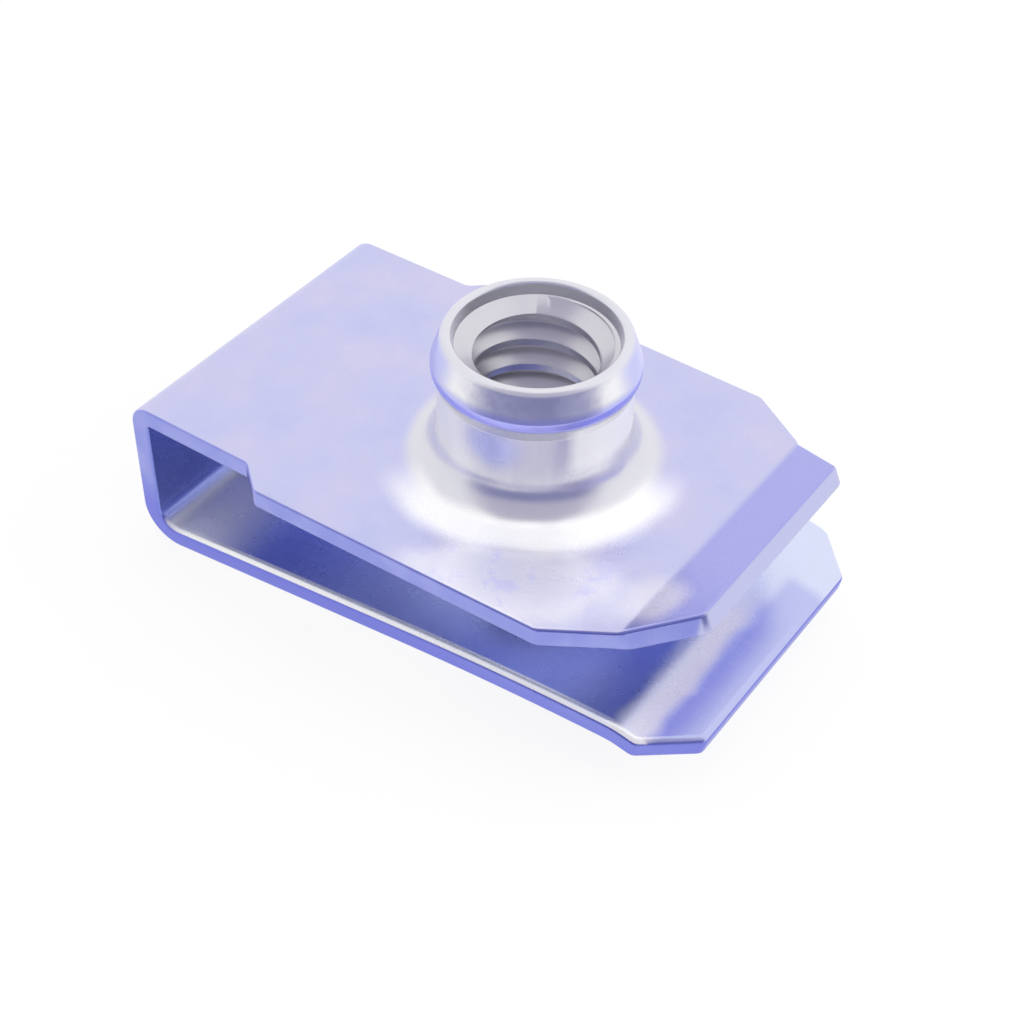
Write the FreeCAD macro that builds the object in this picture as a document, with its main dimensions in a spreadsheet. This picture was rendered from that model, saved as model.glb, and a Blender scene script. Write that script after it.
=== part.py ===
import FreeCAD, Part
import math
import os
import Sketcher

# U clip nut: one folded steel sheet with a drawn collar for the screw.
# Origin on the screw axis at the nut leg's upper face. +X to the mouth, +Z up the collar.

SIZES = {
    # The sheet and the widths of its blank
    "thickness": 0.9,
    "strip_width": 15.0,
    "leg_width": 17.2,
    "leg_front_width": 16.7,
    # Nut leg, measured from the screw axis
    "back_reach": 15.2,
    "step_back": 8.8,
    "step_front": 7.5,
    "corner_start": 5.8,
    "lip_start": 8.3,
    "lip_reach": 11.1,
    "lip_end_width": 10.1,
    "lip_angle": 24.0,
    "lip_bend_inside": 0.5,
    # The fold at the back
    "upper_bend_inside": 0.15,
    "lower_bend_inside": 0.8,
    # Spring leg: a rising run, a shallow crown and a lead-out
    "leg_gap": 4.0,
    "rise_angle": 6.5,
    "crown_back": 1.5,
    "crown_radius": 130.0,
    "flare_start": 8.4,
    "flare_angle": 11.0,
    "flare_bend_inside": 3.0,
    "spring_reach": 11.8,
    "spring_corner": 1.95,
    "screw_clearance": 3.5,
    # Drawn collar
    "bore_radius": 2.5,
    "mouth_round": 0.6,
    "root_round": 1.5,
    "waist_radius": 3.9,
    "neck_top": 3.85,
    "head_bottom": 4.25,
    "head_radius": 4.15,
    "head_taper": 19.0,
    "rim_crest": 3.48,
    "rim_round": 0.34,
    "rim_height": 5.85,
    "countersink_angle": 60.0,
    # Rounding of the blank's corners, and how far the cutting shapes run past it
    "corner_round": 0.4,
    "overcut": 2.0,
}


def make_sheet(doc):
    """Put every driving size in the spreadsheet under its own alias."""
    sheet = doc.addObject("Spreadsheet::Sheet", "Sizes")
    for row, (name, value) in enumerate(SIZES.items(), start=1):
        sheet.set(f"A{row}", name)
        sheet.set(f"B{row}", str(value))
        sheet.setAlias(f"B{row}", name)
    doc.recompute()
    return sheet


def expression(text):
    """Turn a formula of plain size names into one that reads the spreadsheet."""
    for name in sorted(SIZES, key=len, reverse=True):
        text = text.replace("$" + name, "Sizes." + name)
    return text


def origin_plane(body, role):
    """Find one of the body's own origin planes."""
    return next(item for item in body.Origin.OriginFeatures if item.Role == role)


def make_sketch(body, name, role, shift="0"):
    """Attach a sketch to an origin plane, moved along the plane's normal by a formula."""
    sketch = body.newObject("Sketcher::SketchObject", name)
    sketch.AttachmentSupport = [(origin_plane(body, role), "")]
    sketch.MapMode = "FlatFace"
    if shift != "0":
        sketch.setExpression("AttachmentOffset.Base.z", expression(shift))
    return sketch


def plain(sketch, formula):
    """The number that a formula of sizes gives now."""
    return float(sketch.evalExpression(expression(formula)))


def fix_coordinate(sketch, kind, geometry, end, formula):
    """Tie one coordinate of a point to a formula, or put the point on the axis."""
    if formula == "0":
        axis = -2 if kind == "DistanceX" else -1
        sketch.addConstraint(Sketcher.Constraint("PointOnObject", geometry, end, axis))
        return
    value = plain(sketch, formula)
    index = sketch.addConstraint(Sketcher.Constraint(kind, geometry, end, value))
    sketch.setExpression(f"Constraints[{index}]", expression(formula))


def arc_between(start, end, radius, turn):
    """The shorter arc from start to end; turn is 1 for anticlockwise and -1 for clockwise."""
    chord = end - start
    middle = (start + end) * 0.5
    height = math.sqrt(max(radius ** 2 - (chord.Length / 2) ** 2, 0.0))
    side = FreeCAD.Vector(-chord.y, chord.x, 0).normalize()
    centre = middle + side * height * turn
    first, last = (start, end) if turn > 0 else (end, start)
    angles = [math.atan2(p.y - centre.y, p.x - centre.x) for p in (first, last)]
    circle = Part.Circle(centre, FreeCAD.Vector(0, 0, 1), radius)
    return Part.ArcOfCircle(circle, angles[0], angles[1])


def draw(sketch, steps, closed=True):
    """Draw a chain of lines and arcs. Each step is a point and the way to the next point:
    (x formula, y formula) for a line, or with (radius formula, turn) added for an arc."""
    points = [FreeCAD.Vector(plain(sketch, step[0]), plain(sketch, step[1]), 0) for step in steps]
    count = len(steps) if closed else len(steps) - 1
    ends = []
    for number in range(count):
        start = points[number]
        stop = points[(number + 1) % len(points)]
        if len(steps[number]) == 2:
            geometry = sketch.addGeometry(Part.LineSegment(start, stop), False)
            ends.append((geometry, 1, 2))
            continue
        radius_formula, turn = steps[number][2:]
        radius = plain(sketch, radius_formula)
        geometry = sketch.addGeometry(arc_between(start, stop, radius, turn), False)
        ends.append((geometry, 1, 2) if turn > 0 else (geometry, 2, 1))
        index = sketch.addConstraint(Sketcher.Constraint("Radius", geometry, radius))
        sketch.setExpression(f"Constraints[{index}]", expression(radius_formula))
    for number, (geometry, first, last) in enumerate(ends):
        fix_coordinate(sketch, "DistanceX", geometry, first, steps[number][0])
        fix_coordinate(sketch, "DistanceY", geometry, first, steps[number][1])
        if number + 1 < len(ends) or closed:
            following = ends[(number + 1) % len(ends)]
            sketch.addConstraint(
                Sketcher.Constraint("Coincident", geometry, last, following[0], following[1]))
        else:
            fix_coordinate(sketch, "DistanceX", geometry, last, steps[-1][0])
            fix_coordinate(sketch, "DistanceY", geometry, last, steps[-1][1])


def both_sides(sketch, steps):
    """Draw a closed outline and its mirror image across the part's middle plane."""
    draw(sketch, steps)
    draw(sketch, [(step[0], f"-({step[1]})") for step in steps])


def cut(body, kind, name, profile, **settings):
    """Add a cutting feature and make sure that it takes material away."""
    body.Document.recompute()
    before = body.Shape.Volume
    feature = body.newObject(kind, name)
    feature.Profile = profile
    for key, value in settings.items():
        setattr(feature, key, value)
    body.Document.recompute()
    if body.Shape.Volume > before - 1e-6:
        raise RuntimeError(f"{name} cuts nothing")
    return feature


def fold_strip(body):
    """Fold the sheet: back along the nut leg, down the back wall and out along the spring leg."""
    section = make_sketch(body, "sheet_section", "YZ_Plane", "$lip_start")
    half = "$leg_width / 2"
    draw(section, [
        (half, "0"),
        ("-" + half, "0"),
        ("-" + half, "-$thickness"),
        (half, "-$thickness"),
    ])

    # The middle line of the sheet, with the radii of its bends and the places where they meet
    middle = "(-$thickness / 2)"
    upper = "($upper_bend_inside + $thickness / 2)"
    lower = "($lower_bend_inside + $thickness / 2)"
    flare = "($flare_bend_inside + $thickness / 2)"
    wall = "(-$back_reach + $thickness / 2)"
    rise = "($rise_angle * 1deg)"
    dip = "($flare_angle * 1deg)"
    crown_height = "(-$thickness * 1.5 - $leg_gap)"
    foot_across = f"({wall} + {lower} * (1 + sin({rise})))"
    foot_height = f"({crown_height} - (-$crown_back - {foot_across}) * tan({rise}))"
    wall_foot = f"({foot_height} + {lower} * cos({rise}))"
    crest = f"asin(sin({rise}) - ($flare_start + $crown_back) / $crown_radius)"
    crest_height = f"({crown_height} + $crown_radius * (cos({crest}) - cos({rise})))"
    flare_across = f"($flare_start + {flare} * (sin({crest}) + sin({dip})))"
    flare_height = f"({crest_height} - {flare} * (cos({crest}) - cos({dip})))"
    tip_height = f"({flare_height} - ($spring_reach - {flare_across}) * tan({dip}))"

    spring_path = make_sketch(body, "spring_path", "XZ_Plane")
    draw(spring_path, [
        ("$lip_start", middle),
        (f"{wall} + {upper}", middle, upper, 1),
        (wall, f"{middle} - {upper}"),
        (wall, wall_foot, lower, 1),
        (foot_across, foot_height),
        ("-$crown_back", crown_height, "$crown_radius", -1),
        ("$flare_start", crest_height, flare, -1),
        (flare_across, flare_height),
        ("$spring_reach", tip_height),
    ], closed=False)

    lip = "($lip_bend_inside + $thickness / 2)"
    lean = "($lip_angle * 1deg)"
    bend_across = f"($lip_start + {lip} * sin({lean}))"
    bend_height = f"({middle} + {lip} * (1 - cos({lean})))"
    lip_path = make_sketch(body, "lip_path", "XZ_Plane")
    draw(lip_path, [
        ("$lip_start", middle, lip, 1),
        (bend_across, bend_height),
        ("$lip_reach", f"{bend_height} + ($lip_reach - {bend_across}) * tan({lean})"),
    ], closed=False)
    body.Document.recompute()

    for name, path in (("folded_strip", spring_path), ("lead_in_lip", lip_path)):
        pipe = body.newObject("PartDesign::AdditivePipe", name)
        pipe.Profile = section
        pipe.Spine = (path, [f"Edge{number + 1}" for number in range(path.GeometryCount)])
        body.Document.recompute()


def trim_blank(body):
    """Cut the outline of the blank: the neck, the stepped nut leg and both tapered ends."""
    between = "-$thickness - $leg_gap / 2"
    outside = "$leg_width / 2 + $overcut"

    neck = make_sketch(body, "neck_outline", "XY_Plane")
    behind = "-$back_reach - $overcut"
    both_sides(neck, [
        (behind, "$strip_width / 2"),
        ("-$step_back", "$strip_width / 2"),
        ("-$step_front", "$leg_width / 2"),
        ("-$step_front", outside),
        (behind, outside),
    ])
    cut(body, "PartDesign::Pocket", "neck_trim", neck, Type="ThroughAll", Midplane=True)

    nut_leg = make_sketch(body, "nut_leg_outline", "XY_Plane", between)
    taper = "($leg_front_width - $lip_end_width) / 2 / ($lip_reach - $corner_start)"
    ahead = "$lip_reach + $overcut"
    both_sides(nut_leg, [
        ("-$step_front", "$leg_width / 2"),
        ("$corner_start", "$leg_front_width / 2"),
        (ahead, f"$lip_end_width / 2 - $overcut * {taper}"),
        (ahead, outside),
        ("-$step_front", outside),
    ])
    cut(body, "PartDesign::Pocket", "nut_leg_trim", nut_leg, Type="ThroughAll", Reversed=True)

    spring = make_sketch(body, "spring_leg_outline", "XY_Plane", between)
    ahead = "$spring_reach + $overcut"
    both_sides(spring, [
        ("-$step_back", "$strip_width / 2"),
        ("$spring_reach - $spring_corner", "$strip_width / 2"),
        (ahead, "$strip_width / 2 - $spring_corner - $overcut"),
        (ahead, outside),
        ("-$step_back", outside),
    ])
    cut(body, "PartDesign::Pocket", "spring_leg_trim", spring, Type="ThroughAll")


def round_corners(body):
    """Round the corners that the cutting die leaves on the blank, all through the sheet."""
    thickness = plain(body, "$thickness")
    inner_width = plain(body, "$lip_end_width / 2 - $corner_round")
    names = []
    for number, edge in enumerate(body.Shape.Edges, start=1):
        upright = isinstance(edge.Curve, Part.Line) and abs(edge.Curve.Direction.z) > 0.8
        through_sheet = 0.9 * thickness < edge.Length < 1.2 * thickness
        if upright and through_sheet and abs(edge.CenterOfMass.y) > inner_width:
            names.append(f"Edge{number}")
    base = body.Tip
    fillet = body.newObject("PartDesign::Fillet", "corner_rounding")
    fillet.Base = (base, names)
    fillet.setExpression("Radius", expression("$corner_round"))
    body.Document.recompute()


def draw_collar(body):
    """Raise the collar: flared root, straight waist and a wider head that tapers to a rounded
    rim, then its bore and countersink."""
    collar = make_sketch(body, "collar_profile", "XZ_Plane")
    root = "$waist_radius + $root_round"
    taper = "($head_taper * 1deg)"
    head_side = f"($rim_crest + $rim_round * cos({taper}))"
    head_top = f"($rim_height - $rim_round * (1 - sin({taper})))"
    shoulder = f"{head_top} - ($head_radius - {head_side}) / tan({taper})"
    draw(collar, [
        ("0", "-$thickness / 2"),
        (root, "-$thickness / 2"),
        (root, "0", "$root_round", -1),
        ("$waist_radius", "$root_round"),
        ("$waist_radius", "$neck_top"),
        ("$head_radius", "$head_bottom"),
        ("$head_radius", shoulder),
        (head_side, head_top, "$rim_round", 1),
        ("$rim_crest", "$rim_height"),
        ("0", "$rim_height"),
    ])
    body.Document.recompute()
    collar_turn = body.newObject("PartDesign::Revolution", "collar")
    collar_turn.Profile = collar
    collar_turn.ReferenceAxis = (collar, ["V_Axis"])
    body.Document.recompute()

    bore = make_sketch(body, "bore_profile", "XZ_Plane")
    mouth = "$bore_radius + $mouth_round"
    below = "-$thickness - $overcut / 2"
    above = "$rim_height + $overcut"
    sink = "($countersink_angle * 1deg)"
    sink_edge = f"($rim_crest - $rim_round * cos({sink}))"
    sink_top = f"($rim_height - $rim_round * (1 - sin({sink})))"
    sink_depth = f"({sink_edge} - $bore_radius) / tan({sink})"
    draw(bore, [
        ("0", below),
        (mouth, below),
        (mouth, "-$thickness", "$mouth_round", -1),
        ("$bore_radius", "$mouth_round - $thickness"),
        ("$bore_radius", f"{sink_top} - {sink_depth}"),
        (sink_edge, sink_top, "$rim_round", -1),
        ("$rim_crest", "$rim_height"),
        ("$rim_crest", above),
        ("0", above),
    ])
    body.Document.recompute()
    cut(body, "PartDesign::Groove", "bore", bore, ReferenceAxis=(bore, ["V_Axis"]))


def pierce_spring_leg(body):
    """Clearance hole for the screw in the spring leg, on the collar's axis."""
    hole = make_sketch(body, "screw_hole", "XY_Plane", "-$thickness - $leg_gap / 2")
    circle = Part.Circle(FreeCAD.Vector(0, 0, 0), FreeCAD.Vector(0, 0, 1),
                         plain(hole, "$screw_clearance"))
    geometry = hole.addGeometry(circle, False)
    hole.addConstraint(Sketcher.Constraint("Coincident", geometry, 3, -1, 1))
    index = hole.addConstraint(Sketcher.Constraint("Radius", geometry, circle.Radius))
    hole.setExpression(f"Constraints[{index}]", expression("$screw_clearance"))
    cut(body, "PartDesign::Pocket", "screw_clearance_hole", hole, Type="ThroughAll")


def check(doc, body):
    """Stop on a failed feature or a bad solid."""
    failed = [item.Name for item in doc.Objects if {"Invalid", "Error"} & set(item.State)]
    if failed:
        raise RuntimeError(f"failed: {failed}")
    if body.Shape.isNull() or not body.Shape.isValid() or len(body.Shape.Solids) != 1:
        raise RuntimeError("the clip is not one valid solid")


def main():
    doc = FreeCAD.newDocument("u_clip_nut")
    make_sheet(doc)
    body = doc.addObject("PartDesign::Body", "clip")
    body.Label = "clip"
    fold_strip(body)
    trim_blank(body)
    round_corners(body)
    draw_collar(body)
    pierce_spring_leg(body)
    doc.recompute()
    check(doc, body)
    os.makedirs("parts", exist_ok=True)
    body.Shape.exportStep("parts/clip.step")


main()
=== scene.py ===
import math
from functools import reduce

import bpy
from mathutils import Matrix, Vector


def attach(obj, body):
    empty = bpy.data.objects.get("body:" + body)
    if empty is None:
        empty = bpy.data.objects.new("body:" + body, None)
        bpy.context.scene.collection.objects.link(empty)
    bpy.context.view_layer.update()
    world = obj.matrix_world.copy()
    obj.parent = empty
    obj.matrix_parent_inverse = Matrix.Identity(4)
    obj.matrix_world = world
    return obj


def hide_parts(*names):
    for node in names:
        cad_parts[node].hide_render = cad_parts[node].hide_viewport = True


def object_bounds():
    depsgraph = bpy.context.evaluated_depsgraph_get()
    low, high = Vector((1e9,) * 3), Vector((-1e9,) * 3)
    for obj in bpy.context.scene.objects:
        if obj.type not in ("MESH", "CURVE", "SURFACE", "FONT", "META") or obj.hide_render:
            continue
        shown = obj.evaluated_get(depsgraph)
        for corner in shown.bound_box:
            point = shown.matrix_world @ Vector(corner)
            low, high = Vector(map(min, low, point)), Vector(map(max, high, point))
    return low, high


bl_info = {
    "name": "U clip nut",
    "version": (1, 0, 0),
    "blender": (4, 5, 0),
    "location": "3D View > Sidebar > U clip",
    "description": "Folded sheet clip with a drawn and threaded collar, zinc plated",
    "category": "Add Mesh",
}

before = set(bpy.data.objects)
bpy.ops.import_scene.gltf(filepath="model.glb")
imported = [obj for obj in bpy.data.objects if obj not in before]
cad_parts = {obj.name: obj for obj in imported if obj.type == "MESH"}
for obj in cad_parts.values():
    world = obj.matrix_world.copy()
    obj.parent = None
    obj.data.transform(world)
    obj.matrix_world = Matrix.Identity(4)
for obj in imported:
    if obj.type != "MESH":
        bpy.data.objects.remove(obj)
CAD_BOX = [list(corner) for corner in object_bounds()]

MM = 0.001
CLIP = "zinc_clip"

# How closely places on the mesh are told apart, in metres
SLACK = 1e-7
SHORTEST_RUN = 1e-9
SAME_STATION = 1e-6
MERGE_DISTANCE = 0.01 * MM
PLACE_DIGITS = 8

# Turns between faces
FINEST_CORNER = math.radians(20)
FLAT_TURN = math.radians(0.05)
SHARP_TURN = math.radians(50)
SMOOTH_TURN = math.radians(32)

# Upright part of a face's normal
LEAST_UPWARD = 0.02
LEVEL_FACE = 0.99

# Pieces that each curve is made of
LIP_PIECES = 6
UPPER_BEND_PIECES = 10
LOWER_BEND_PIECES = 16
SPRING_PIECES = 8
EDGE_PIECES = 5
HOLE_EDGE_PIECES = 2
HOLE_CORNERS = 96
THREAD_STEPS = 96
NORMAL_WEIGHT = 80

# The thread's groove: half its flat bottom as a share of the pitch, and how much wider it eases
GROOVE_BOTTOM = 0.05
GROOVE_EASING = 1.6

# Studio: lengths in metres, and the tent's shares of the way up or ahead where it changes
PHOTO_SIDE = 1024
SENSOR_WIDTH = 36.0
CAMERA_RANGE = (0.001, 20.0)
FLOOR_SIDE = 6.0
TENT_RADIUS = 1.2
TENT_CORNERS = 64
SKIRT_RADIUS = 0.055
SKIRT_HEIGHT = 0.02
SKIRT_FRONT_END = 0.35
LEAST_ACROSS = 0.0001
TENT_PALES = (0.20, 0.50)
TENT_DARKENS = (0.15, 0.75)
TENT_OPENS = (0.955, 0.99)
TOP_LAMP_PLACE = (-0.023, 0.034, 0.358)
TOP_LAMP_SIZE = (0.25, 0.24)
SIDE_LAMP_PLACE = (0.30, 0.22, 0.24)
SIDE_LAMP_SIZE = (0.30, 0.30)


# Property groups

def length(name, description, millimetres):
    """A length that a user can change, written here in millimetres."""
    return bpy.props.FloatProperty(
        name=name, description=description, default=millimetres * MM, min=0.0,
        precision=5, subtype="DISTANCE", unit="LENGTH")


def angle(name, description, degrees):
    """An angle that a user can change, written here in degrees."""
    return bpy.props.FloatProperty(
        name=name, description=description, default=math.radians(degrees), subtype="ANGLE",
        unit="ROTATION")


def colour(name, description, value):
    """A colour that a user can change, in linear light."""
    return bpy.props.FloatVectorProperty(
        name=name, description=description, default=value, min=0.0, max=1.0, size=3,
        subtype="COLOR")


def factor(name, description, value, top=1.0):
    """A plain number that a user can change."""
    return bpy.props.FloatProperty(
        name=name, description=description, default=value, min=0.0, max=top, subtype="FACTOR")


class UCLIP_PG_sheet(bpy.types.PropertyGroup):
    """Sizes of the folded sheet."""

    thickness: length("Thickness", "Thickness of the sheet", 0.9)
    strip_width: length("Strip width", "Width of the neck and of the spring leg", 15.0)
    leg_width: length("Leg width", "Width of the nut leg at its step", 17.2)
    leg_front_width: length("Leg front width", "Width where the long corners start", 16.7)
    back_reach: length("Back reach", "From the screw axis to the outside of the fold", 15.2)
    step_back: length("Step back", "From the axis to the narrow end of the step", 8.8)
    step_front: length("Step front", "From the axis to the wide end of the step", 7.5)
    corner_start: length("Corner start", "From the axis to the long corners", 5.8)
    lip_start: length("Lip start", "From the axis to the lip's bend", 8.3)
    lip_reach: length("Lip reach", "From the axis to the lip's tip", 11.1)
    lip_end_width: length("Lip end width", "Width of the lip's tip", 10.1)
    lip_angle: angle("Lip angle", "How far the lip is bent up", 24.0)
    lip_bend_inside: length("Lip bend inside", "Inside radius of the lip's bend", 0.5)
    upper_bend_inside: length("Upper bend inside", "Inside radius of the upper bend", 0.15)
    lower_bend_inside: length("Lower bend inside", "Inside radius of the lower bend", 0.8)
    leg_gap: length("Leg gap", "Room between the legs at the crown's back", 4.0)
    rise_angle: angle("Rise angle", "How steeply the spring leg rises", 6.5)
    crown_back: length("Crown back", "From the axis back to the crown's start", 1.5)
    crown_radius: length("Crown radius", "Radius of the shallow crown", 130.0)
    flare_start: length("Flare start", "From the axis to the lead-out's bend", 8.4)
    flare_angle: angle("Flare angle", "How far the lead-out points down", 11.0)
    flare_bend_inside: length("Flare bend inside", "Inside radius of the lead-out's bend", 3.0)
    spring_reach: length("Spring reach", "From the axis to the spring leg's tip", 11.8)
    spring_corner: length("Spring corner", "Size of the spring leg's cut corners", 1.95)
    screw_clearance: length("Screw clearance", "Radius of the hole in the spring leg", 3.5)
    corner_round: length("Corner round", "Radius of the blank's corners", 0.4)
    edge_round: length("Edge round", "Radius that shearing and plating leave on edges", 0.15)
    spring_edge_round: length("Spring edge round", "Radius of the spring leg's upper edges", 0.35)


class UCLIP_PG_collar(bpy.types.PropertyGroup):
    """Sizes of the drawn collar and its thread."""

    foot_radius: length("Foot radius", "Where the collar's foot meets the flat sheet", 6.7)
    root_round: length("Root round", "Radius of the flared root", 1.5)
    dish_slope: angle("Dish slope", "How far the sheet is drawn up beside the root", 7.0)
    waist_radius: length("Waist radius", "Radius of the waist", 3.9)
    neck_top: length("Neck top", "Height where the waist ends", 3.85)
    head_bottom: length("Head bottom", "Height of the head's lower edge", 4.25)
    head_radius: length("Head radius", "Radius of the head where it is widest", 4.15)
    head_taper: angle("Head taper", "How far the head's upper side leans in", 19.0)
    rim_crest: length("Rim crest", "Radius of the rim's highest line", 3.48)
    rim_round: length("Rim round", "Radius of the rounded rim", 0.34)
    rim_height: length("Rim height", "Height of the collar", 5.85)
    mouth_soft: length("Mouth soft", "Rounding from the rim into the mouth", 0.17)
    mouth_radius: length("Mouth radius", "Radius of the mouth above the thread", 3.22)
    mouth_depth: length("Mouth depth", "Depth of the mouth above the thread", 0.55)
    sink_angle: angle("Sink angle", "From the axis to the countersink's side", 60.0)
    head_soft: length("Head soft", "Rounding of the head's and waist's edges", 0.25)
    bore_radius: length("Bore radius", "Thread's radius at its crests", 2.5)
    thread_radius: length("Thread radius", "Thread's radius at its roots", 3.14)
    pitch: length("Pitch", "From one turn of the thread to the next", 1.27)
    flank_angle: angle("Flank angle", "Lean of each side of the groove", 30.0)
    crest_ease: length("Crest ease", "Depth over which the crests are eased", 0.08)
    root_ease: length("Root ease", "Depth over which the groove's bottom is eased", 0.06)
    cutter_skirt: length("Cutter skirt", "Reach of the eased crest into the bore", 0.05)
    cutter_inside: length("Cutter inside", "Reach of the groove's cutter into the bore", 0.22)
    groove_height: length("Groove height", "Height of the top groove on the mouth's side", 4.93)
    mouth_round: length("Mouth round", "Rounding under the collar", 0.6)
    segments: bpy.props.IntProperty(
        name="Segments", description="Corners of each ring", default=128, min=32, max=256)


class UCLIP_PG_zinc(bpy.types.PropertyGroup):
    """Colours of the zinc plating, and of the highlights, reflections and shade painted on it."""

    plate: colour("Plate", "Flat sheet, bright blue zinc", (0.60, 0.605, 0.87))
    plate_warm: colour("Warm plate", "Rosy clouds in the plating", (0.70, 0.64, 0.84))
    plate_cool: colour("Cool plate", "Bluer clouds in the plating", (0.50, 0.53, 0.88))
    silver: colour("Silver", "Drawn and burnished metal", (0.75, 0.745, 0.79))
    # Painted dark reflection, mottled, on the head's front
    dark_reflection: colour("Tarnish", "Dark mottling on the head's front", (0.36, 0.33, 0.58))
    bore: colour("Bore", "Thread and mouth of the collar", (0.60, 0.59, 0.63))
    lip: colour("Lip", "Deeper blue on the bent lip", (0.42, 0.425, 0.84))
    # Painted pale reflection in strips between the legs; also laid on a pale patch beside the lip
    pale_reflection: colour("Worn", "Warm, worn strips between the legs", (0.95, 0.91, 0.92))
    blob: colour("Blob", "Blue spot left on the waist", (0.56, 0.60, 1.0))
    # Painted shade deep in the fold between the legs
    inside_shade: colour("Inside, deep", "Bluest sheet between the legs", (0.25, 0.30, 0.76))
    # Paler than the plate: light painted in between the legs and underneath
    inside: colour("Inside", "Sheet between the legs and underneath", (0.72, 0.76, 0.96))
    # Painted reflection of the collar on the flat sheet in front of it
    collar_reflection: colour("Rubbed", "Patches rubbed to a neutral sheen", (0.90, 0.89, 0.92))
    # Painted highlight in pure white, round the collar's foot, on the head and waist and along
    # the spring leg's upper edges
    bright: colour("Bright", "Burnished metal round the collar's foot", (1.0, 1.0, 1.0))
    # Painted blue shade round the head's lower edge and sides, also mottling the painted
    # reflection in front of the collar
    blue_shade: colour("Blued", "Deeper blue left round the head's lower edge", (0.42, 0.44, 1.0))
    # Cut sides, with a darker blue painted in for shade
    sheared: colour("Sheared edge", "Cut sides of the nut leg", (0.30, 0.33, 0.77))
    # Painted shade: the spring leg's cut sides darker still
    sheared_shade: colour("Sheared edge, deep", "Cut sides of the spring leg", (0.21, 0.23, 0.74))
    tip: colour("Tip", "Cut end of the lip", (0.56, 0.57, 0.84))
    plate_roughness: factor("Plate roughness", "Roughness of the flat sheet", 0.27)
    silver_roughness: factor("Silver roughness", "Roughness of the drawn metal", 0.24)
    cut_roughness: factor("Cut roughness", "Roughness of the sheared edges", 0.30)


class UCLIP_PG_stage(bpy.types.PropertyGroup):
    """Camera, floor and light."""

    camera_place: bpy.props.FloatVectorProperty(
        name="Camera place", description="Where the camera stands",
        default=(0.032433, -0.048888, 0.050210), size=3, precision=6, subtype="TRANSLATION",
        unit="LENGTH")
    azimuth: angle("Azimuth", "Camera's turn about the vertical", 34.38)
    elevation: angle("Elevation", "Camera's height above the horizon", 42.487)
    roll: angle("Roll", "Camera's turn about its own axis", 1.116)
    focal_pixels: bpy.props.FloatProperty(
        name="Focal length", description="Focal length in pixels of the photograph",
        default=1910.79)
    floor_colour: colour("Floor", "Colour of the floor", (0.93, 0.93, 0.94))
    shadow_share: factor("Shadow share", "How much of the floor's own shading shows", 0.12)
    world_level: factor("World level", "Strength of the light from all around", 0.75, 4.0)
    tent_low: colour("Tent, low", "Tent in front of the clip, near the floor", (0.12, 0.13, 0.38))
    tent_high: colour("Tent, high", "Tent in front of the clip, higher up", (0.48, 0.46, 0.58))
    top_power: factor("Top lamp", "Power of the lamp overhead, in watts", 0.45, 50.0)
    side_power: factor("Side lamp", "Power of the lamp by the mouth, in watts", 0.5, 50.0)


# Editing helpers

def deselect_all():
    """Leave nothing selected."""
    if bpy.context.mode != "OBJECT":
        bpy.ops.object.mode_set(mode="OBJECT")
    bpy.ops.object.select_all(action="DESELECT")


def make_active(piece):
    """Select one object alone and make it the active one."""
    deselect_all()
    piece.select_set(True)
    bpy.context.view_layer.objects.active = piece


def rename_new(name):
    """Name the primitive that was just added."""
    piece = bpy.context.active_object
    piece.name = name
    piece.data.name = name
    return piece


def pick(piece, kind, test):
    """Go to edit mode with only the vertices, edges or faces selected that pass the test."""
    make_active(piece)
    bpy.ops.object.mode_set(mode="EDIT")
    bpy.ops.mesh.select_mode(type=kind)
    bpy.ops.mesh.select_all(action="DESELECT")
    bpy.ops.object.mode_set(mode="OBJECT")
    mesh = piece.data
    items = {"VERT": mesh.vertices, "EDGE": mesh.edges, "FACE": mesh.polygons}[kind]
    for item in items:
        item.select = bool(test(item))
    bpy.ops.object.mode_set(mode="EDIT")


def back_to_object():
    """Leave edit mode."""
    bpy.ops.object.mode_set(mode="OBJECT")


def remove_parts(piece, kind, test, delete=None):
    """Delete the vertices, edges or faces that pass the test."""
    pick(piece, kind, test)
    bpy.ops.mesh.delete(type=delete or kind)
    back_to_object()


def apply_modifier(piece, kind, **settings):
    """Add a modifier, set it up and apply it."""
    make_active(piece)
    modifier = piece.modifiers.new(kind.title(), kind)
    for name, value in settings.items():
        setattr(modifier, name, value)
    bpy.ops.object.modifier_apply(modifier=modifier.name)


def cut_away(piece, cutter):
    """Take the cutter's shape out of the piece and remove the cutter."""
    apply_modifier(piece, "BOOLEAN", object=cutter, operation="DIFFERENCE", solver="EXACT")
    bpy.data.objects.remove(cutter)


def face_outwards(piece):
    """Turn every face of a closed piece outwards."""
    pick(piece, "FACE", lambda face: True)
    bpy.ops.mesh.normals_make_consistent(inside=False)
    back_to_object()


def settle(piece):
    """Put the object's place into its mesh, so that the object stands at the origin."""
    make_active(piece)
    bpy.ops.object.transform_apply(location=True, rotation=True, scale=True)


def open_edges(mesh):
    """Indices of the edges that only one face uses."""
    uses = {}
    for face in mesh.polygons:
        for key in face.edge_keys:
            uses[key] = uses.get(key, 0) + 1
    return [edge.index for edge in mesh.edges if uses.get(edge.key, 0) == 1]


def require_closed(piece, moment):
    """Stop if the piece has open edges."""
    count = len(open_edges(piece.data))
    if count:
        raise RuntimeError(f"the clip has {count} open edges {moment}")


# Folded sheet

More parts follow.
